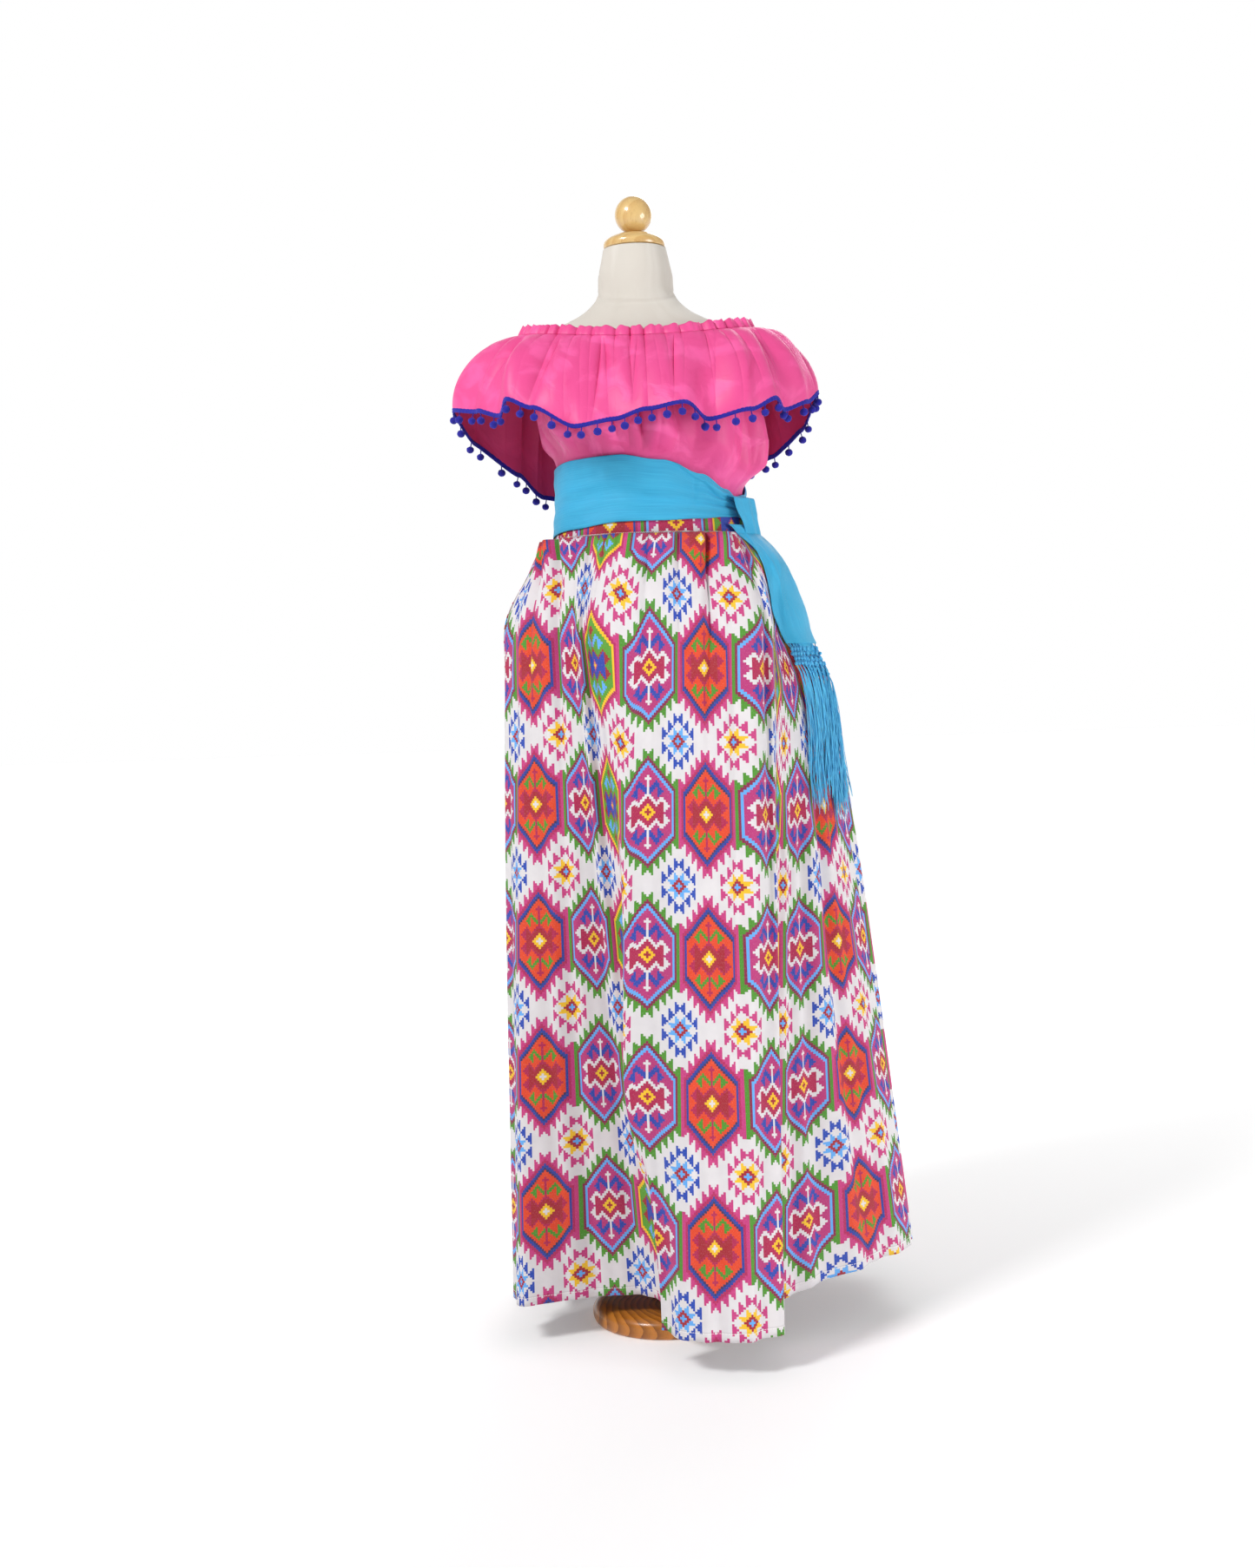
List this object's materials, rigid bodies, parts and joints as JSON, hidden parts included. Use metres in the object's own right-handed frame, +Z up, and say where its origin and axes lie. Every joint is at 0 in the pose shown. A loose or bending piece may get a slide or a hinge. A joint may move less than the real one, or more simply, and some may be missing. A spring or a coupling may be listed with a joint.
{
  "type": "adelita skirt and blouse set on dress form",
  "caption": "Off-the-shoulder blouse with a pompom-edged flounce, tied sash and long gathered print skirt, worn by a limbless dress form on a round wooden foot.",
  "frame": {"origin": "centre of the wooden foot's flat underside, on the axis of the pole", "axes": "+Z up along the pole, the front of the garment faces -Y, the sash is tied towards +X"},
  "size_m": [0.5931, 0.5543, 1.5199],
  "materials": {
    "form_jersey": "off-white cotton jersey pulled smooth over the form",
    "varnished_maple": "glossy clear varnish on pale turned wood",
    "varnished_pine": "brown varnish over wide growth rings",
    "pole_steel": "plain steel tube",
    "pink_satin": "hot pink satin with soft wet-looking highlights",
    "pompom_yarn": "royal blue yarn, matt",
    "printed_cotton": "white cotton printed with stepped hexagons and stars",
    "sash_weave": "turquoise ribbed weave with a soft sheen"
  },
  "bodies": {
    "root": {"dress_form": "form_jersey", "neck_cap": "varnished_maple", "ball_finial": "varnished_maple", "pole": "pole_steel", "foot": "varnished_pine", "blouse_front": "pink_satin", "blouse_back": "pink_satin", "neck_casing": "pink_satin", "flounce_front": "pink_satin", "flounce_back": "pink_satin", "pompom_braid_front": "pompom_yarn", "pompom_braid_back": "pompom_yarn", "waistband": "printed_cotton", "skirt_front": "printed_cotton", "skirt_back": "printed_cotton", "sash_band": "sash_weave", "sash_knot": "sash_weave", "sash_tail_front": "sash_weave", "sash_tail_back": "sash_weave", "fringe_front": "sash_weave", "fringe_back": "sash_weave"}
  },
  "joints": []
}
